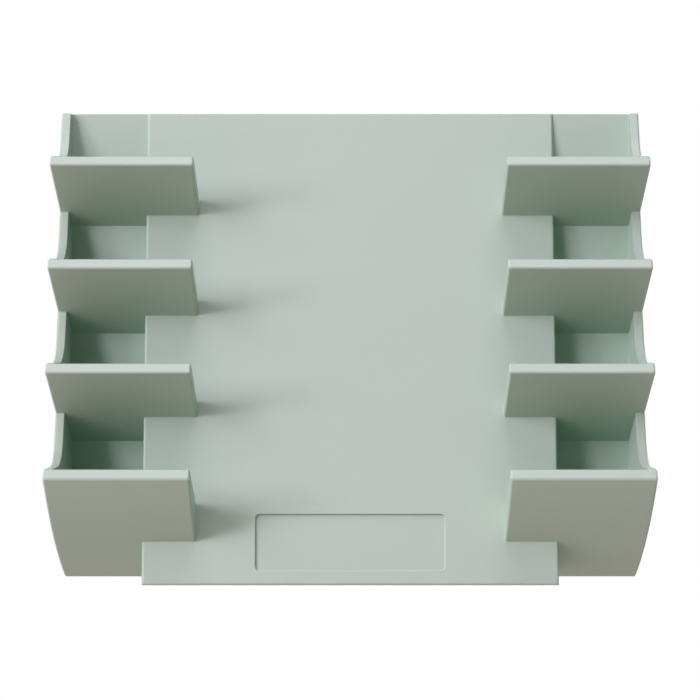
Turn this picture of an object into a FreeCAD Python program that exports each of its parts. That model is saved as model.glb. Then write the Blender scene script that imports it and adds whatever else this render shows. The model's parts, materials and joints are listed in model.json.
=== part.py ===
import FreeCAD, Part
import math
import os

# Wall tray for four board markers, held to a steel board by magnets.
# Lengths are in millimetres and angles in degrees. X runs to the right, Y runs
# back to the board and Z runs up. The origin lies on the board, behind the
# middle of the tray. "Depth" below is the distance in front of the moulding's
# flat back, and "height" is measured from the origin.

# Overall form
TRAY_WIDTH = 150.0
TIP_ABOVE_BOTTOM = 28.0
TOP_ABOVE_TIP = 15.46
WALL = 2.4
END_WALL = 2.3
BACK_WALL = 3.0

# Rows of lips, counted from the lowest
ROWS = 4
ROW_RISE = 25.86
ROW_SETBACK = 3.67
LOWEST_TIP_REACH = 36.6
LIP_LENGTH = 35.85
LIP_TIP_THICKNESS = 2.8
LIP_TIP_LEAN = 30.0
UNDERSIDE_SLOPE = 31.2
FLOOR_SLOPE = 28.5
EDGE_CHAMFER = 0.35

# Scooped front edge of each end wall
SCOOP_BEHIND_TIP = 17.2
SCOOP_LEAN = 18.5
SCOOP_RADIUS = 9.0

# Bowed underside of the lowest lip
BELLY_BOW = 2.2
BELLY_FLAT = 1.2
BELLY_BLUNT = 3.0

# Sloping centre panel
PANEL_FROM_END = 22.25
PANEL_TOP_DEPTH = 3.45
PANEL_BOTTOM_DEPTH = 19.5
PANEL_ROUND = 0.6

# Shallow recess for a label, left bare
LABEL_WIDTH = 48.1
LABEL_HEIGHT = 14.2
LABEL_ABOVE_BOTTOM = 3.75
LABEL_DEPTH = 0.5
LABEL_CORNER = 1.1

# Rear cover and its seat in the back of the moulding
COVER_THICKNESS = 2.0
COVER_SEAT = 1.2
COVER_GAP = 0.15
COVER_CORNER = 2.0

# Tongues that hold the cover's top edge
TONGUE_WIDTH = 14.0
TONGUE_THICKNESS = 0.9
TONGUE_REACH = 1.5
TONGUE_GAP = 0.1
TONGUE_FROM_SIDE = 22.75

# Magnet discs and their cups in the cover
MAGNET_DIAMETER = 20.0
MAGNET_THICKNESS = 2.0
MAGNET_GAP = 0.1
MAGNET_RIM_CHAMFER = 0.3
CUP_FLOOR = 0.8
CUP_WALL = 1.4
CUP_CLEARANCE = 0.2
MAGNET_FROM_SIDE = 18.75
LOWER_MAGNET_ABOVE_BOTTOM = 30.0

# Screws, self-tapping with countersunk heads, and their bosses
SCREW_HEAD_DIAMETER = 5.6
SCREW_SHANK_DIAMETER = 2.9
SCREW_LENGTH = 7.0
SCREW_SUNK = 0.1
SCREW_RIM = 0.2
SCREW_GAP = 0.05
SCREW_HOLE_GAP = 0.2
DRIVE_SLOT_WIDTH = 0.7
DRIVE_SLOT_LENGTH = 3.2
DRIVE_SLOT_DEPTH = 0.9
BOSS_WALL = 1.8
BOSS_HOLE_SPARE = 0.5
SCREW_FROM_SIDE = 7.75
LOWER_SCREW_ABOVE_BOTTOM = 8.5
UPPER_SCREW_ABOVE_BOTTOM = 62.0

# Ribs inside the hollow panel
RIB_THICKNESS = 1.6
RIB_FROM_SIDE = 37.75

# Grip pads
PAD_DIAMETER = 12.0
PAD_THICKNESS = 1.2
PAD_STAND = 0.3
PAD_GAP = 0.1
PAD_RIM_CHAMFER = 0.2
PAD_FROM_END = 11.5
PAD_FROM_TOP = 10.0
LOWER_PAD_ABOVE_BOTTOM = 26.0

# How far cutting tools reach past a face, and how near counts as the same
CUT_PAST = 1.0
SAME_POINT = 1e-6
SAME_PLACE = 1e-4

# Sizes worked out from the ones above
HEIGHT = TIP_ABOVE_BOTTOM + (ROWS - 1) * ROW_RISE + TOP_ABOVE_TIP
TOP = HEIGHT / 2
BOTTOM = -HEIGHT / 2
HALF_WIDTH = TRAY_WIDTH / 2
INNER_END = HALF_WIDTH - END_WALL
HALF_PANEL = HALF_WIDTH - PANEL_FROM_END
HALF_CAVITY = HALF_PANEL - WALL
MAGNET_OFFSET = HALF_PANEL - MAGNET_FROM_SIDE
LIP_START = HALF_WIDTH - LIP_LENGTH
PANEL_RUN = (PANEL_BOTTOM_DEPTH - PANEL_TOP_DEPTH) / HEIGHT
PANEL_TILT = math.atan(PANEL_RUN)
CUP_DEPTH = MAGNET_THICKNESS + CUP_FLOOR
CUP_RADIUS = MAGNET_DIAMETER / 2 + MAGNET_GAP + CUP_WALL
FORWARD = FreeCAD.Vector(0, -1, 0)
SIDES = {"left": -1, "right": 1}


def at(x, depth, height):
    """Return the point at x, a depth in front of the moulding's back, and a height."""
    return FreeCAD.Vector(x, -(depth + PAD_STAND), height)


def wire(corners, place):
    """Return a closed wire round (u, v, radius) corners, each rounded to its radius."""
    points = [FreeCAD.Vector(u, v, 0) for u, v, _ in corners]
    edges = []
    starts = []
    ends = []
    for index, corner in enumerate(points):
        radius = corners[index][2]
        back = (points[index - 1] - corner).normalize()
        ahead = (points[(index + 1) % len(points)] - corner).normalize()
        half_angle = back.getAngle(ahead) / 2
        reach = radius / math.tan(half_angle)
        starts.append(corner + back * reach)
        ends.append(corner + ahead * reach)
        if radius > 0:
            middle = (back + ahead).normalize()
            crown = corner + middle * (radius / math.sin(half_angle) - radius)
            arc_points = [place(point.x, point.y) for point in (starts[-1], crown, ends[-1])]
            edges.append(Part.Arc(*arc_points).toShape())
    for index, start in enumerate(starts):
        previous = ends[index - 1]
        if previous.distanceToPoint(start) > SAME_POINT:
            line = Part.LineSegment(place(previous.x, previous.y), place(start.x, start.y))
            edges.append(line.toShape())
    return Part.Wire(Part.__sortEdges__(edges))


def side_prism(corners, x_from, x_to):
    """Return the solid of a (depth, height, radius) side outline between two x places."""
    face = Part.Face(wire(corners, lambda depth, height: at(x_from, depth, height)))
    return face.extrude(FreeCAD.Vector(x_to - x_from, 0, 0))


def back_prism(corners, depth_from, depth_to):
    """Return the solid of an (x, height, radius) outline between two depths."""
    face = Part.Face(wire(corners, lambda x, height: at(x, depth_from, height)))
    return face.extrude(FreeCAD.Vector(0, depth_from - depth_to, 0))


def rectangle(left, right, low, high, radius=0.0):
    """Return the corners of an upright rectangle."""
    return [(left, low, radius), (right, low, radius), (right, high, radius), (left, high, radius)]


def forward_disc(x, height, radius, depth_from, depth_to):
    """Return a disc whose axis runs forward from the board."""
    return Part.makeCylinder(radius, depth_to - depth_from, at(x, depth_from, height), FORWARD)


def mirrored(shape):
    """Return the shape reflected to the other side of the tray."""
    return shape.mirror(FreeCAD.Vector(0, 0, 0), FreeCAD.Vector(1, 0, 0))


def meeting(first, first_slope, second, second_slope):
    """Return where two lines meet, each given by a point and a slope above level, forward."""
    rise_1 = math.tan(math.radians(first_slope))
    rise_2 = math.tan(math.radians(second_slope))
    depth = (second[1] - first[1] + rise_1 * first[0] - rise_2 * second[0]) / (rise_1 - rise_2)
    return depth, first[1] + rise_1 * (depth - first[0])


def along(point, slope, depth):
    """Return the height at a depth of the line through a point with a slope."""
    return point[1] + math.tan(math.radians(slope)) * (depth - point[0])


def tip(row):
    """Return the lower front corner of a lip, as (depth, height)."""
    return LOWEST_TIP_REACH - row * ROW_SETBACK, BOTTOM + TIP_ABOVE_BOTTOM + row * ROW_RISE


def tip_top(row):
    """Return the upper corner of a lip's tip, as (depth, height)."""
    depth, height = tip(row)
    lean = math.radians(LIP_TIP_LEAN)
    return depth - LIP_TIP_THICKNESS * math.sin(lean), height + LIP_TIP_THICKNESS * math.cos(lean)


def scoop_start(row):
    """Return where the end wall's edge leaves the underside of a row's lip."""
    depth = tip(row)[0] - SCOOP_BEHIND_TIP
    return depth, along(tip(row), UNDERSIDE_SLOPE, depth)


def scoop_depth(row, height):
    """Return how far forward the straight part of the scoop under a row is at a height."""
    depth, start_height = scoop_start(row)
    return depth + (start_height - height) * math.tan(math.radians(SCOOP_LEAN))


def panel_depth(height):
    """Return how far forward the centre panel's face is at a height."""
    return PANEL_TOP_DEPTH + (TOP - height) * PANEL_RUN


def panel_height(depth):
    """Return the height at which the centre panel's face is this far forward."""
    return TOP - (depth - PANEL_TOP_DEPTH) / PANEL_RUN


def belly():
    """Return the corner that the belly's bow rounds off, and the radius of the bow."""
    tip_depth, tip_height = tip(0)
    rise = tip_height - BOTTOM
    chord = math.hypot(tip_depth, rise)
    stand_out = 2 * BELLY_BOW
    depth = tip_depth / 2 + stand_out * rise / chord
    height = (tip_height + BOTTOM) / 2 - stand_out * tip_depth / chord
    half_turn = math.atan(stand_out / (chord / 2))
    radius = (math.hypot(chord / 2, stand_out) - BELLY_FLAT) / math.tan(half_turn)
    return (depth, height), radius


def belly_outline():
    """Return the corners of the lowest lip from its heel to the top of its tip."""
    corner, radius = belly()
    return [(0, BOTTOM, 0), (*corner, radius), (*tip(0), 0), (*tip_top(0), 0)]


def end_wall():
    """Return the right end wall, scooped between the lips, with its outer rim and its tips chamfered."""
    corners = belly_outline()
    for row in range(ROWS):
        ledge = tip_top(row)[1]
        corners.append((scoop_depth(row + 1, ledge), ledge, SCOOP_RADIUS))
        if row + 1 < ROWS:
            corners.append((*scoop_start(row + 1), 0))
            corners.append((*tip(row + 1), 0))
            corners.append((*tip_top(row + 1), 0))
    corners.append((scoop_depth(ROWS, TOP), TOP, 0))
    corners.append((0, TOP, 0))
    wall = side_prism(corners, INNER_END, HALF_WIDTH)
    return wall.makeChamfer(EDGE_CHAMFER, edges_at(wall, HALF_WIDTH) + tip_edges(wall))


def edges_at(solid, x):
    """Return the edges of a solid that lie wholly at an x place."""
    found = []
    for edge in solid.Edges:
        box = edge.BoundBox
        if abs(box.XMin - x) + abs(box.XMax - x) < SAME_PLACE:
            found.append(edge)
    return found


def tip_edges(solid):
    """Return the edges of a solid that run across the tray along the corners of the tips."""
    places = [at(0, *corner(row)) for row in range(ROWS) for corner in (tip, tip_top)]
    found = []
    for edge in solid.Edges:
        middle = edge.CenterOfMass
        level = FreeCAD.Vector(0, middle.y, middle.z)
        across = edge.BoundBox.XLength > SAME_PLACE
        if across and min(level.distanceToPoint(place) for place in places) < SAME_PLACE:
            found.append(edge)
    return found


def lip(row):
    """Return a right lip, from over the centre panel to the end wall."""
    if row == 0:
        corners = belly_outline() + [(0, along(tip_top(0), FLOOR_SLOPE, 0), 0)]
    else:
        root = BACK_WALL / 2
        corners = [
            (*tip(row), 0),
            (*tip_top(row), 0),
            (root, along(tip_top(row), FLOOR_SLOPE, root), 0),
            (root, along(tip(row), UNDERSIDE_SLOPE, root), 0),
        ]
    solid = side_prism(corners, LIP_START, INNER_END)
    return solid.makeChamfer(EDGE_CHAMFER, edges_at(solid, LIP_START) + tip_edges(solid))


def belly_hollow(x_from, x_to):
    """Return the space cored out of the lowest lip from behind, one wall inside its surfaces."""
    corner, radius = belly()
    back_slope = math.degrees(math.atan2(corner[1] - BOTTOM, corner[0]))
    front_slope = math.degrees(math.atan2(tip(0)[1] - corner[1], tip(0)[0] - corner[0]))
    back_line = (0, BOTTOM + WALL / math.cos(math.radians(back_slope)))
    front_line = (tip(0)[0], tip(0)[1] + WALL / math.cos(math.radians(front_slope)))
    floor_line = (tip_top(0)[0], tip_top(0)[1] - WALL / math.cos(math.radians(FLOOR_SLOPE)))
    bend = meeting(back_line, back_slope, front_line, front_slope)
    nose = meeting(floor_line, FLOOR_SLOPE, front_line, front_slope)[0] - BELLY_BLUNT
    above_belly = side_prism([
        (-CUT_PAST, along(back_line, back_slope, -CUT_PAST), 0),
        (*bend, radius - WALL),
        (*front_line, 0),
        (front_line[0], TOP, 0),
        (-CUT_PAST, TOP, 0),
    ], x_from, x_to)
    below_floor = side_prism([
        (-CUT_PAST, BOTTOM, 0),
        (nose, BOTTOM, 0),
        (nose, along(floor_line, FLOOR_SLOPE, nose), 0),
        (-CUT_PAST, along(floor_line, FLOOR_SLOPE, -CUT_PAST), 0),
    ], x_from, x_to)
    return above_belly.common(below_floor)


def panel():
    """Return the centre panel as a wedge, with its front and side edges rounded."""
    wedge = side_prism([
        (0, BOTTOM, 0),
        (PANEL_BOTTOM_DEPTH, BOTTOM, 0),
        (PANEL_TOP_DEPTH, TOP, 0),
        (0, TOP, 0),
    ], -HALF_PANEL, HALF_PANEL)
    rounded = []
    for edge in wedge.Edges:
        box = edge.BoundBox
        on_front = -box.YMax - PAD_STAND > PANEL_TOP_DEPTH - SAME_PLACE
        if on_front and box.ZMin < TOP - SAME_PLACE:
            rounded.append(edge)
    return wedge.makeFillet(PANEL_ROUND, rounded)


# The shell's skin behind the sloping face, measured straight back from it
SKIN = WALL / math.cos(PANEL_TILT)
CAVITY_LOW = BOTTOM + WALL
CAVITY_HIGH = panel_height(COVER_THICKNESS + SKIN)
SEAT_LOW = CAVITY_LOW - COVER_SEAT
SEAT_HIGH = CAVITY_HIGH + COVER_SEAT
HALF_SEAT = HALF_CAVITY + COVER_SEAT

MAGNET_PLACES = {
    "top": panel_height(CUP_DEPTH + CUP_CLEARANCE + SKIN) - CUP_RADIUS,
    "bottom": BOTTOM + LOWER_MAGNET_ABOVE_BOTTOM,
}
PAD_PLACES = {
    "top": TOP - PAD_FROM_TOP,
    "bottom": BOTTOM + LOWER_PAD_ABOVE_BOTTOM,
}
SCREW_PLACES = [
    (side * (HALF_PANEL - SCREW_FROM_SIDE), BOTTOM + rise)
    for side in SIDES.values()
    for rise in (LOWER_SCREW_ABOVE_BOTTOM, UPPER_SCREW_ABOVE_BOTTOM)
]


def tongues(gap):
    """Return the pair of tongues on the cover's top edge, grown by a gap to make their slots."""
    pair = []
    for side in SIDES.values():
        centre = side * (HALF_PANEL - TONGUE_FROM_SIDE)
        half = TONGUE_WIDTH / 2 + gap
        end = SEAT_HIGH - COVER_GAP + TONGUE_REACH + gap
        corners = rectangle(centre - half, centre + half, CAVITY_HIGH, end)
        pair.append(back_prism(corners, COVER_THICKNESS - TONGUE_THICKNESS - gap, COVER_THICKNESS))
    return pair


def label_recess():
    """Return the space of the label recess, square to the panel's sloping face."""
    up = FreeCAD.Vector(0, math.sin(PANEL_TILT), math.cos(PANEL_TILT))
    out = FreeCAD.Vector(0, -math.cos(PANEL_TILT), math.sin(PANEL_TILT))
    low = BOTTOM + LABEL_ABOVE_BOTTOM
    start = at(0, panel_depth(low), low) + out * LABEL_DEPTH
    corners = rectangle(-LABEL_WIDTH / 2, LABEL_WIDTH / 2, 0, LABEL_HEIGHT, LABEL_CORNER)
    face = Part.Face(wire(corners, lambda u, v: start + FreeCAD.Vector(u, 0, 0) + up * v))
    return face.extrude(out * (-2 * LABEL_DEPTH))


def stiffeners():
    """Return the upright ribs and the screw bosses inside the hollow panel."""
    inside = WALL / 2
    low = BOTTOM + inside
    parts = []
    for side in SIDES.values():
        middle = side * (HALF_PANEL - RIB_FROM_SIDE)
        parts.append(side_prism([
            (COVER_THICKNESS, low, 0),
            (panel_depth(low) - inside, low, 0),
            (panel_depth(CAVITY_HIGH) - inside, CAVITY_HIGH, 0),
            (COVER_THICKNESS, CAVITY_HIGH, 0),
        ], middle - RIB_THICKNESS / 2, middle + RIB_THICKNESS / 2))
    for x, height in SCREW_PLACES:
        front = panel_depth(height) - inside
        boss_radius = SCREW_SHANK_DIAMETER / 2 + SCREW_GAP + BOSS_WALL
        wall_x = math.copysign(HALF_CAVITY + inside, x)
        half_web = RIB_THICKNESS / 2
        web = rectangle(min(x, wall_x), max(x, wall_x), height - half_web, height + half_web)
        parts.append(forward_disc(x, height, boss_radius, COVER_THICKNESS, front))
        parts.append(back_prism(web, COVER_THICKNESS, front))
    return parts


def tray_moulding():
    """Return the tray itself: hollow sloping panel, back walls, lips and end walls in one."""
    floor_root = along(tip_top(0), FLOOR_SLOPE, 0)
    back_wall = back_prism(rectangle(-INNER_END, INNER_END, floor_root, TOP), 0, BACK_WALL)
    forms = [back_wall]
    for solid in [end_wall()] + [lip(row) for row in range(ROWS)]:
        forms += [solid, mirrored(solid)]
    body = panel().fuse(forms)
    cavity = side_prism([
        (-CUT_PAST, CAVITY_LOW, 0),
        (panel_depth(CAVITY_LOW) - SKIN, CAVITY_LOW, 0),
        (COVER_THICKNESS, CAVITY_HIGH, 0),
        (-CUT_PAST, CAVITY_HIGH, 0),
    ], -HALF_CAVITY, HALF_CAVITY)
    hollows = [cavity]
    for x_from, x_to in ((LIP_START + WALL, HALF_CAVITY), (HALF_PANEL, INNER_END)):
        hollow = belly_hollow(x_from, x_to)
        hollows += [hollow, mirrored(hollow)]
    body = body.cut(hollows).fuse(stiffeners())
    seat = back_prism(
        rectangle(-HALF_SEAT, HALF_SEAT, SEAT_LOW, SEAT_HIGH, COVER_CORNER), -CUT_PAST, COVER_THICKNESS)
    cuts = [seat, label_recess()] + tongues(TONGUE_GAP)
    for x, height in SCREW_PLACES:
        deep = SCREW_SUNK + SCREW_LENGTH + BOSS_HOLE_SPARE
        cuts.append(forward_disc(x, height, SCREW_SHANK_DIAMETER / 2 + SCREW_GAP, 0, deep))
    for side in SIDES.values():
        for height in PAD_PLACES.values():
            x = side * (HALF_WIDTH - PAD_FROM_END)
            pad_radius = PAD_DIAMETER / 2 + PAD_GAP
            cuts.append(forward_disc(x, height, pad_radius, -CUT_PAST, PAD_THICKNESS - PAD_STAND))
    return body.cut(cuts).removeSplitter()


def rear_cover():
    """Return the cover plate with its tongues, magnet cups and countersunk holes."""
    edge = HALF_SEAT - COVER_GAP
    outline = rectangle(-edge, edge, SEAT_LOW + COVER_GAP, SEAT_HIGH - COVER_GAP, COVER_CORNER)
    plate = back_prism(outline, 0, COVER_THICKNESS)
    cups = []
    cuts = []
    for side in SIDES.values():
        for height in MAGNET_PLACES.values():
            x = side * MAGNET_OFFSET
            cups.append(forward_disc(x, height, CUP_RADIUS, 0, CUP_DEPTH))
            magnet_radius = MAGNET_DIAMETER / 2 + MAGNET_GAP
            cuts.append(forward_disc(x, height, magnet_radius, -CUT_PAST, MAGNET_THICKNESS))
    for x, height in SCREW_PLACES:
        hole_radius = SCREW_SHANK_DIAMETER / 2 + SCREW_HOLE_GAP
        cuts.append(forward_disc(x, height, hole_radius, -CUT_PAST, CUP_DEPTH))
        cuts.append(screw_head(x, height, SCREW_HOLE_GAP, -CUT_PAST))
    return plate.fuse(tongues(0) + cups).cut(cuts).removeSplitter()


def screw_head(x, height, gap, back):
    """Return a countersunk head from a depth at its back, grown by a gap to make its seat."""
    top = SCREW_HEAD_DIAMETER / 2 + gap
    neck = SCREW_SHANK_DIAMETER / 2 + gap
    rim = forward_disc(x, height, top, back, SCREW_SUNK + SCREW_RIM)
    start = at(x, SCREW_SUNK + SCREW_RIM, height)
    cone = Part.makeCone(top, neck, top - neck, start, FORWARD)
    return rim.fuse(cone)


def screw(x, height):
    """Return one cover screw with a cross recess in its head."""
    shank_radius = SCREW_SHANK_DIAMETER / 2
    shank = forward_disc(x, height, shank_radius, SCREW_SUNK + SCREW_RIM, SCREW_SUNK + SCREW_LENGTH)
    body = screw_head(x, height, 0, SCREW_SUNK).fuse(shank)
    half_width = DRIVE_SLOT_WIDTH / 2
    half_length = DRIVE_SLOT_LENGTH / 2
    for across, up in ((half_length, half_width), (half_width, half_length)):
        slot = rectangle(x - across, x + across, height - up, height + up)
        body = body.cut(back_prism(slot, 0, SCREW_SUNK + DRIVE_SLOT_DEPTH))
    return body.removeSplitter()


def rimmed_disc(x, height, diameter, depth_from, depth_to, chamfer):
    """Return a disc whose rim towards the board is chamfered."""
    disc = forward_disc(x, height, diameter / 2, depth_from, depth_to)
    rims = [edge for edge in disc.Edges if len(edge.Vertexes) == 1]
    board_rim = max(rims, key=lambda edge: edge.BoundBox.YMin)
    return disc.makeChamfer(chamfer, [board_rim])


def magnet(x, height):
    """Return one magnet disc, flush with the back of the cover."""
    return rimmed_disc(x, height, MAGNET_DIAMETER, 0, MAGNET_THICKNESS, MAGNET_RIM_CHAMFER)


def grip_pad(x, height):
    """Return one grip pad, which stands out of its recess to meet the board."""
    inner = PAD_THICKNESS - PAD_STAND
    return rimmed_disc(x, height, PAD_DIAMETER, -PAD_STAND, inner, PAD_RIM_CHAMFER)


def build():
    """Return every piece of the tray by name."""
    pieces = {"tray_moulding": tray_moulding(), "rear_cover": rear_cover()}
    for side_name, side in SIDES.items():
        for level, height in MAGNET_PLACES.items():
            pieces[f"magnet_{level}_{side_name}"] = magnet(side * MAGNET_OFFSET, height)
        for level, height in PAD_PLACES.items():
            pad_x = side * (HALF_WIDTH - PAD_FROM_END)
            pieces[f"grip_pad_{level}_{side_name}"] = grip_pad(pad_x, height)
    pieces["cover_screws"] = Part.makeCompound([screw(x, height) for x, height in SCREW_PLACES])
    return pieces


os.makedirs("parts", exist_ok=True)
for name, shape in build().items():
    solids = len(shape.Solids)
    print(f"{name}: {solids} solid(s), valid {shape.isValid()}, {shape.Volume / 1000:.2f} cm3")
    shape.exportStep(f"parts/{name}.step")
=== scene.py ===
"""Dresses the wall tray for board markers: finishes, soft studio light and the camera."""

import json
import logging
import math
from dataclasses import dataclass
from enum import Enum

import bpy
from mathutils import Euler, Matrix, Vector

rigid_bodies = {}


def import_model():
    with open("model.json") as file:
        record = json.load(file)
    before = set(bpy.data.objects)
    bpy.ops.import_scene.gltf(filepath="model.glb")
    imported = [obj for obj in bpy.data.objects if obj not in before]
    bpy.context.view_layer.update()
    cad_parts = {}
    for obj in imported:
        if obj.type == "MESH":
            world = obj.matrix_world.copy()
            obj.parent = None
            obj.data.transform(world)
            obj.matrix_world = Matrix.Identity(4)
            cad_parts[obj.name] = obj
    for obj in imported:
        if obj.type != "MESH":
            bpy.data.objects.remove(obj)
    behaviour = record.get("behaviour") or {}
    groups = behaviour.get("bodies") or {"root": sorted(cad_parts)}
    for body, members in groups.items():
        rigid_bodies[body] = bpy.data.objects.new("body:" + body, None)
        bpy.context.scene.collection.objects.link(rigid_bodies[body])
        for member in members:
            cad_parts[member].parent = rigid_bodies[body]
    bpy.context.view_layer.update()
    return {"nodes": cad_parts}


LOG = logging.getLogger("pen_tray")
MM = 0.001

Colour = tuple[float, float, float, float]
Setting = float | int | str | bool | tuple[float, ...]


def linear(hex_colour: str) -> Colour:
    """Turns an sRGB hex colour into the linear colour that Blender's nodes take.

    Args:
        hex_colour: Six hex digits, such as "b9c4bb".

    Returns:
        Red, green and blue as linear values, and an alpha of one.
    """
    parts = [int(hex_colour[i : i + 2], 16) / 255 for i in (0, 2, 4)]
    # The numbers are the sRGB standard's own.
    red, green, blue = (p / 12.92 if p <= 0.04045 else ((p + 0.055) / 1.055) ** 2.4 for p in parts)
    return (red, green, blue, 1.0)


def texture_scale(width_mm: float) -> float:
    """Returns the scale of a texture whose pattern is so many millimetres wide."""
    return 1 / (width_mm * MM)


def add_node(
    tree: bpy.types.NodeTree,
    kind: str,
    inputs: dict[str, Setting | bpy.types.NodeSocket] | None = None,
    **settings: Setting,
) -> bpy.types.Node:
    """Adds one node with its settings, input values and links.

    Args:
        tree: The node tree that gets the node.
        kind: Blender's type name for the node.
        inputs: Input names, each with a value or with the output that feeds it.
        **settings: Properties of the node itself.

    Returns:
        The new node.
    """
    node = tree.nodes.new(kind)
    for name, value in settings.items():
        setattr(node, name, value)
    for name, value in (inputs or {}).items():
        socket = node.inputs[int(name)] if name.isdigit() else node.inputs[name]
        if isinstance(value, bpy.types.NodeSocket):
            tree.links.new(value, socket)
        else:
            socket.default_value = value
    return node


def empty_material(name: str) -> bpy.types.Material:
    """Makes a new node material with nothing in it.

    Args:
        name: What the material is called.

    Returns:
        The material.
    """
    material = bpy.data.materials.new(name)
    material.use_nodes = True
    material.node_tree.nodes.clear()
    return material


def seen_directly(tree: bpy.types.NodeTree) -> bpy.types.NodeSocket:
    """Adds nodes that tell the rays that show a surface from those that light others.

    Args:
        tree: The node tree that gets the nodes.

    Returns:
        An output that is one for camera, glossy and transmission rays, else zero.
    """
    path = add_node(tree, "ShaderNodeLightPath").outputs
    glossy = add_node(
        tree,
        "ShaderNodeMath",
        {"0": path["Is Camera Ray"], "1": path["Is Glossy Ray"]},
        operation="MAXIMUM",
    )
    return add_node(
        tree,
        "ShaderNodeMath",
        {"0": glossy.outputs[0], "1": path["Is Transmission Ray"]},
        operation="MAXIMUM",
    ).outputs[0]


@dataclass(frozen=True)
class Plating:
    """How a plating looks.

    Attributes:
        colour: Its colour, in sRGB hex.
        smoothest: Its roughness where it is rubbed least.
        roughest: Its roughness where it is rubbed most.
    """

    colour: str
    smoothest: float
    roughest: float


class Metal(Enum):
    """The two plated metals on the back of the tray."""

    NICKEL = Plating("bdbfc1", 0.12, 0.20)
    ZINC = Plating("bcc0c6", 0.26, 0.44)


@dataclass(frozen=True)
class MouldedAbs:
    """ABS injected into a spark-eroded mould, which leaves a fine, even matt grain.

    The grain scatters the light, so highlights are wide and soft. The colour clouds
    very slightly where the melt flowed, and the mould leaves every edge a little round.

    Attributes:
        name: What the material is called.
        colour: Its colour, in sRGB hex.
        clouded: Its colour where the melt flowed.
        deep: Its colour for light that has already bounced from wall to wall, darker and greener
            than the plastic: painted shade in the pockets and under the lips.
        roughness: Its mean roughness.
        smoother: How much less rough the low spots of the grain are.
        rougher: How much rougher the high spots are.
        ior: Typical for ABS.
        grain_mm: The width of the grain. The real one is about 0.05 mm and would not show.
        grain_depth_mm: How deep the grain is.
        cloud_mm: How far apart the clouds are.
        edge_mm: The radius of the edges.
    """

    name: str
    colour: str = "b5bfbb"
    clouded: str = "b2bcb8"
    # Painted shade: the colour of bounced light, darker and greener than the plastic.
    deep: str = "94bba1"
    roughness: float = 0.52
    smoother: float = 0.05
    rougher: float = 0.06
    ior: float = 1.53
    grain_mm: float = 0.35
    grain_depth_mm: float = 0.012
    cloud_mm: float = 38.0
    edge_mm: float = 0.35

    def material(self) -> bpy.types.Material:
        """Builds the node material.

        Returns:
            The material, ready to assign.
        """
        made = empty_material(self.name)
        tree = made.node_tree
        place = add_node(tree, "ShaderNodeTexCoord").outputs["Object"]
        cloud = add_node(
            tree,
            "ShaderNodeTexNoise",
            {
                "Vector": place,
                "Scale": texture_scale(self.cloud_mm),
                "Detail": 2.0,
                "Roughness": 0.45,
            },
        )
        tint = add_node(
            tree,
            "ShaderNodeMix",
            {"Factor": cloud.outputs["Fac"], "6": linear(self.colour), "7": linear(self.clouded)},
            data_type="RGBA",
        )
        # Painted shade: light that bounces off the plastic, as from wall to wall in a pocket, takes
        # the darker, greener deep colour, which darkens the pockets and the lips' undersides.
        bounce_rays_for_painted_shade = add_node(tree, "ShaderNodeLightPath").outputs["Is Diffuse Ray"]
        body = add_node(
            tree,
            "ShaderNodeMix",
            {"Factor": bounce_rays_for_painted_shade, "6": tint.outputs[2], "7": linear(self.deep)},
            data_type="RGBA",
        )
        grain = add_node(
            tree,
            "ShaderNodeTexNoise",
            {
                "Vector": place,
                "Scale": texture_scale(self.grain_mm),
                "Detail": 3.0,
                "Roughness": 0.6,
            },
        )
        edge = add_node(tree, "ShaderNodeBevel", {"Radius": self.edge_mm * MM}, samples=8)
        bump = add_node(
            tree,
            "ShaderNodeBump",
            {
                "Height": grain.outputs["Fac"],
                "Distance": self.grain_depth_mm * MM,
                "Strength": 0.6,
                "Normal": edge.outputs["Normal"],
            },
        )
        rough = add_node(
            tree,
            "ShaderNodeMapRange",
            {
                "Value": grain.outputs["Fac"],
                "To Min": self.roughness - self.smoother,
                "To Max": self.roughness + self.rougher,
            },
        )
        shader = add_node(
            tree,
            "ShaderNodeBsdfPrincipled",
            {
                "Base Color": body.outputs[2],
                "Roughness": rough.outputs["Result"],
                "IOR": self.ior,
                "Normal": bump.outputs["Normal"],
            },
        )
        add_node(tree, "ShaderNodeOutputMaterial", {"Surface": shader.outputs["BSDF"]})
        return made


@dataclass(frozen=True)
class PlatedMetal:
    """Steel or sintered magnet metal with a thin bright plating.

    Barrel plating leaves faint rub marks in every direction, so the mirror is broken
    into soft patches of more and less gloss.

    Attributes:
        name: What the material is called.
        metal: Which plating it has.
        scuff_mm: How wide the rubbed patches are.
        scuff_depth_mm: How deep they are.
        smooth_below: The noise value below which the plating is at its smoothest.
        rough_above: The noise value above which it is at its roughest.
    """

    name: str
    metal: Metal
    scuff_mm: float = 1.4
    scuff_depth_mm: float = 0.004
    smooth_below: float = 0.3
    rough_above: float = 0.7

    def material(self) -> bpy.types.Material:
        """Builds the node material.

        Returns:
            The material, ready to assign.
        """
        plating = self.metal.value
        made = empty_material(self.name)
        tree = made.node_tree
        place = add_node(tree, "ShaderNodeTexCoord").outputs["Object"]
        scuff = add_node(
            tree,
            "ShaderNodeTexNoise",
            {
                "Vector": place,
                "Scale": texture_scale(self.scuff_mm),
                "Detail": 5.0,
                "Distortion": 0.6,
            },
        )
        rough = add_node(
            tree,
            "ShaderNodeMapRange",
            {
                "Value": scuff.outputs["Fac"],
                "From Min": self.smooth_below,
                "From Max": self.rough_above,
                "To Min": plating.smoothest,
                "To Max": plating.roughest,
            },
        )
        bump = add_node(
            tree,
            "ShaderNodeBump",
            {"Height": scuff.outputs["Fac"], "Distance": self.scuff_depth_mm * MM, "Strength": 0.4},
        )
        shader = add_node(
            tree,
            "ShaderNodeBsdfPrincipled",
            {
                "Base Color": linear(plating.colour),
                "Metallic": 1.0,
                "Roughness": rough.outputs["Result"],
                "Normal": bump.outputs["Normal"],
            },
        )
        add_node(tree, "ShaderNodeOutputMaterial", {"Surface": shader.outputs["BSDF"]})
        return made


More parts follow.
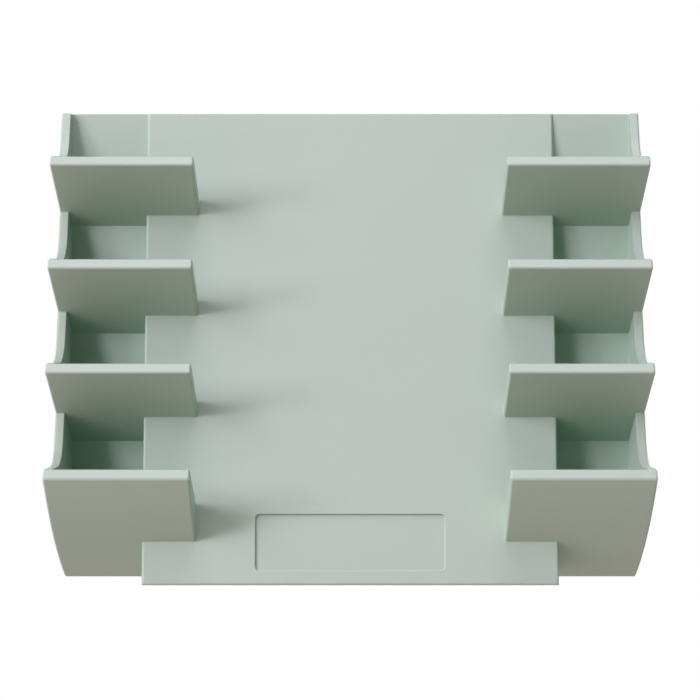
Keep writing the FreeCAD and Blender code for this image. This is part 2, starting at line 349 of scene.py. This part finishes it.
@dataclass(frozen=True)
class DieCutRubber:
    """Soft rubber sheet cut into discs: dark, matt, with a faint calendered grain.

    Attributes:
        name: What the material is called.
        colour: Its colour, in sRGB hex.
        worn: Its colour where the grain stands proud and greys.
        roughness: Its roughness.
        ior: Typical for rubber.
        grain_mm: The width of the grain.
        grain_depth_mm: How deep the grain is.
    """

    name: str
    colour: str = "2b2c2c"
    worn: str = "383a39"
    roughness: float = 0.82
    ior: float = 1.52
    grain_mm: float = 0.5
    grain_depth_mm: float = 0.03

    def material(self) -> bpy.types.Material:
        """Builds the node material.

        Returns:
            The material, ready to assign.
        """
        made = empty_material(self.name)
        tree = made.node_tree
        place = add_node(tree, "ShaderNodeTexCoord").outputs["Object"]
        grain = add_node(
            tree,
            "ShaderNodeTexNoise",
            {"Vector": place, "Scale": texture_scale(self.grain_mm), "Detail": 4.0},
        )
        tint = add_node(
            tree,
            "ShaderNodeMix",
            {"Factor": grain.outputs["Fac"], "6": linear(self.colour), "7": linear(self.worn)},
            data_type="RGBA",
        )
        bump = add_node(
            tree,
            "ShaderNodeBump",
            {
                "Height": grain.outputs["Fac"],
                "Distance": self.grain_depth_mm * MM,
                "Strength": 0.5,
            },
        )
        shader = add_node(
            tree,
            "ShaderNodeBsdfPrincipled",
            {
                "Base Color": tint.outputs[2],
                "Roughness": self.roughness,
                "IOR": self.ior,
                "Normal": bump.outputs["Normal"],
            },
        )
        add_node(tree, "ShaderNodeOutputMaterial", {"Surface": shader.outputs["BSDF"]})
        return made


@dataclass
class DressedNodes:
    """A group of solid pieces that keep their shape and share one finish.

    Attributes:
        title: What the log calls the group.
        prefixes: What the names of its pieces begin with.
        finish: The finish that they share.
    """

    title: str
    prefixes: tuple[str, ...]
    finish: MouldedAbs | PlatedMetal | DieCutRubber

    def dress(self, nodes: dict[str, bpy.types.Object]) -> int:
        """Gives the finish to each piece of the group.

        Args:
            nodes: The frame's pieces by name.

        Returns:
            How many pieces were dressed.
        """
        material = self.finish.material()
        mine = [o for name, o in nodes.items() if name.startswith(self.prefixes)]
        for piece in mine:
            piece.data.materials.clear()
            piece.data.materials.append(material)
            LOG.info("%s: %s in %s", self.title, piece.name, material.name)
        return len(mine)


@dataclass
class PaperFloor:
    """The pale floor, well below the tray, which hangs on a board.

    Near the tray it is matt paper, mixed with nearly half white, and takes the shadow.
    Farther away it shows as white, as the photograph's background does.

    Attributes:
        half_size: Half the side of the square, in metres.
        below: How far it lies below the middle of the tray, in metres.
        shadow_radius: Where it starts to turn white, in metres from the middle.
        white_radius: Where it is all white.
        near_white: How much white is mixed in near the tray.
        fibre_mm: How wide the paper's fibre clouds are.
        light: The paper's colour, in sRGB hex.
        fibre: Its colour where the fibres lie thicker.
        bounce: Its colour for the light that it sends back up to the tray.
    """

    half_size: float = 6.0
    below: float = 0.40
    shadow_radius: float = 0.7
    white_radius: float = 1.6
    near_white: float = 0.45
    fibre_mm: float = 9.0
    light: str = "f4f1ea"
    fibre: str = "f0ede6"
    bounce: str = "dbd3c0"

    def build(self) -> bpy.types.Object:
        """Builds the floor and marks it as stage.

        Returns:
            The floor.
        """
        half = self.half_size
        square = [(-half, -half, 0), (half, -half, 0), (half, half, 0), (-half, half, 0)]
        mesh = bpy.data.meshes.new("floor")
        mesh.from_pydata(square, [], [(0, 1, 2, 3)])
        floor = bpy.data.objects.new("floor", mesh)
        floor.location = (0.0, 0.0, -self.below)
        bpy.context.scene.collection.objects.link(floor)
        mesh.materials.append(self.paper())
        return floor

    def paper(self) -> bpy.types.Material:
        """Returns matt pressed paper that turns to plain white away from the tray.

        Returns:
            The material, ready to assign.
        """
        made = empty_material("paper_matt_pressed")
        tree = made.node_tree
        seen = seen_directly(tree)
        place = add_node(tree, "ShaderNodeTexCoord").outputs["Object"]
        away = add_node(tree, "ShaderNodeVectorMath", {"0": place}, operation="LENGTH")
        far = add_node(
            tree,
            "ShaderNodeMapRange",
            {
                "Value": away.outputs["Value"],
                "From Min": self.shadow_radius,
                "From Max": self.white_radius,
                "To Min": self.near_white,
            },
            interpolation_type="SMOOTHSTEP",
        )
        fibre = add_node(
            tree,
            "ShaderNodeTexNoise",
            {"Vector": place, "Scale": texture_scale(self.fibre_mm), "Detail": 3.0},
        )
        tint = add_node(
            tree,
            "ShaderNodeMix",
            {"Factor": fibre.outputs["Fac"], "6": linear(self.light), "7": linear(self.fibre)},
            data_type="RGBA",
        )
        body = add_node(
            tree,
            "ShaderNodeMix",
            {"Factor": seen, "6": linear(self.bounce), "7": tint.outputs[2]},
            data_type="RGBA",
        )
        matt = add_node(tree, "ShaderNodeBsdfDiffuse", {"Color": body.outputs[2]})
        glow = add_node(tree, "ShaderNodeEmission", {"Strength": 1.0})
        white = add_node(
            tree,
            "ShaderNodeMath",
            {"0": far.outputs["Result"], "1": seen},
            operation="MULTIPLY",
        )
        both = add_node(
            tree,
            "ShaderNodeMixShader",
            {"0": white.outputs[0], "1": matt.outputs[0], "2": glow.outputs[0]},
        )
        add_node(tree, "ShaderNodeOutputMaterial", {"Surface": both.outputs[0]})
        return made


@dataclass(frozen=True)
class SoftLamp:
    """A square soft box that faces the tray, with or without a honeycomb grid.

    Attributes:
        name: What the lamp is called.
        azimuth: Degrees to the right of straight ahead of the tray.
        elevation: Degrees above level.
        watts: Its power.
        size: The side of the square, in metres.
        distance: How far it stands from the tray, in metres.
        grid: How wide its beam fans out, in degrees. A grid keeps light off the floor.
    """

    name: str
    azimuth: float
    elevation: float
    watts: float
    size: float = 0.7
    distance: float = 1.3
    grid: float = 180.0

    def build(self) -> None:
        """Adds the lamp to the scene."""
        data = bpy.data.lights.new(self.name, "AREA")
        data.shape = "SQUARE"
        data.size = self.size
        data.energy = self.watts
        data.spread = math.radians(self.grid)
        lamp = bpy.data.objects.new(self.name, data)
        turn, rise = math.radians(self.azimuth), math.radians(self.elevation)
        flat = math.cos(rise)
        away = Vector((math.sin(turn) * flat, -math.cos(turn) * flat, math.sin(rise)))
        lamp.location = away * self.distance
        lamp.rotation_euler = (-away).to_track_quat("-Z", "Y").to_euler()
        bpy.context.scene.collection.objects.link(lamp)


@dataclass
class Studio:
    """Soft light, mostly from the left, and a white world that lights less than it shows.

    The key is a small lamp and a wide one, so that a lip's shadow is dark where it
    starts and fades farther out. Two lamps at the tray's right side and two behind it
    light faces that the front view hides or shows as slivers. Their grids keep most of
    that light off the front.

    Attributes:
        sky: How strongly the world lights the tray, where one is white.
        lamps: The lamps.
    """

    sky: float = 0.03
    lamps: tuple[SoftLamp, ...] = (
        SoftLamp("key_core", -42.0, 25.0, 17.0, size=0.58, distance=3.0),
        SoftLamp("key_spread", -46.0, 25.0, 43.0, size=1.4, distance=3.0),
        SoftLamp("low_left", -59.0, 10.0, 22.5, size=0.58, distance=3.0),
        SoftLamp("overhead", 0.0, 55.0, 3.1),
        SoftLamp("top_light", 5.0, 75.0, 5.2),
        SoftLamp("right_edge", 82.0, 12.0, 0.06, size=0.5, grid=30.0),
        SoftLamp("side_right", 106.0, 10.0, 0.32, grid=30.0),
        SoftLamp("back_left", -145.0, 8.0, 0.42, grid=30.0),
        SoftLamp("back_right", 150.0, 15.0, 0.30, grid=30.0),
    )

    def build(self) -> None:
        """Adds the lamps and the world."""
        for lamp in self.lamps:
            lamp.build()
        world = bpy.data.worlds.new("studio")
        world.use_nodes = True
        tree = world.node_tree
        tree.nodes.clear()
        level = add_node(
            tree,
            "ShaderNodeMapRange",
            {"Value": seen_directly(tree), "To Min": self.sky, "To Max": 1.0},
        )
        light = add_node(
            tree,
            "ShaderNodeBackground",
            {"Strength": level.outputs["Result"], "Color": linear("ffffff")},
        )
        add_node(tree, "ShaderNodeOutputWorld", {"Surface": light.outputs[0]})
        bpy.context.scene.world = world


@dataclass
class FrontCamera:
    """The camera, square to the board, half a metre in front of it.

    Attributes:
        distance: How far it stands from the middle of the tray, in metres.
        height: How far above the middle it stands, in metres.
        focal_pixels: Its focal length, in pixels of the photograph.
        image_pixels: How wide the photograph is.
        centre_pixel: The column of the photograph that it faces.
        sensor_mm: How wide its sensor is.
        nearest: The nearest thing that it shows, in metres.
        farthest: The farthest.
    """

    distance: float = 0.4994
    height: float = -0.001057
    focal_pixels: float = 1900.0
    image_pixels: float = 700.0
    centre_pixel: float = 350.2
    sensor_mm: float = 36.0
    nearest: float = 0.01
    farthest: float = 20.0

    def build(self) -> None:
        """Adds the camera and makes it the scene's own."""
        data = bpy.data.cameras.new("front_camera")
        data.sensor_width = self.sensor_mm
        data.lens = self.focal_pixels / self.image_pixels * self.sensor_mm
        data.shift_x = -(self.centre_pixel - self.image_pixels / 2) / self.image_pixels
        data.clip_start = self.nearest
        data.clip_end = self.farthest
        camera = bpy.data.objects.new("front_camera", data)
        camera.location = (0.0, -self.distance, self.height)
        camera.rotation_euler = Euler((math.radians(90), 0.0, 0.0))
        bpy.context.scene.collection.objects.link(camera)
        bpy.context.scene.camera = camera


def main() -> None:
    """Loads the frame, dresses each group of pieces, and lights and frames the scene."""
    logging.basicConfig(level=logging.INFO, format="%(message)s")
    for old in list(bpy.data.objects):
        bpy.data.objects.remove(old)
    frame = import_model()
    nodes = frame["nodes"]
    groups = [
        DressedNodes("tray", ("tray_moulding",), MouldedAbs("abs_spark_grained_tray")),
        DressedNodes("rear cover", ("rear_cover",), MouldedAbs("abs_spark_grained_cover")),
        DressedNodes("magnets", ("magnet_",), PlatedMetal("magnet_nickel_plated", Metal.NICKEL)),
        DressedNodes("screws", ("cover_screws",), PlatedMetal("steel_zinc_plated", Metal.ZINC)),
        DressedNodes("grip pads", ("grip_pad_",), DieCutRubber("rubber_die_cut")),
    ]
    dressed = sum(group.dress(nodes) for group in groups)
    if dressed != len(nodes):
        raise ValueError(f"{len(nodes) - dressed} piece(s) have no finish")
    PaperFloor().build()
    Studio().build()
    FrontCamera().build()
    bpy.context.scene.view_settings.view_transform = "Standard"


if __name__ == "__main__":
    main()
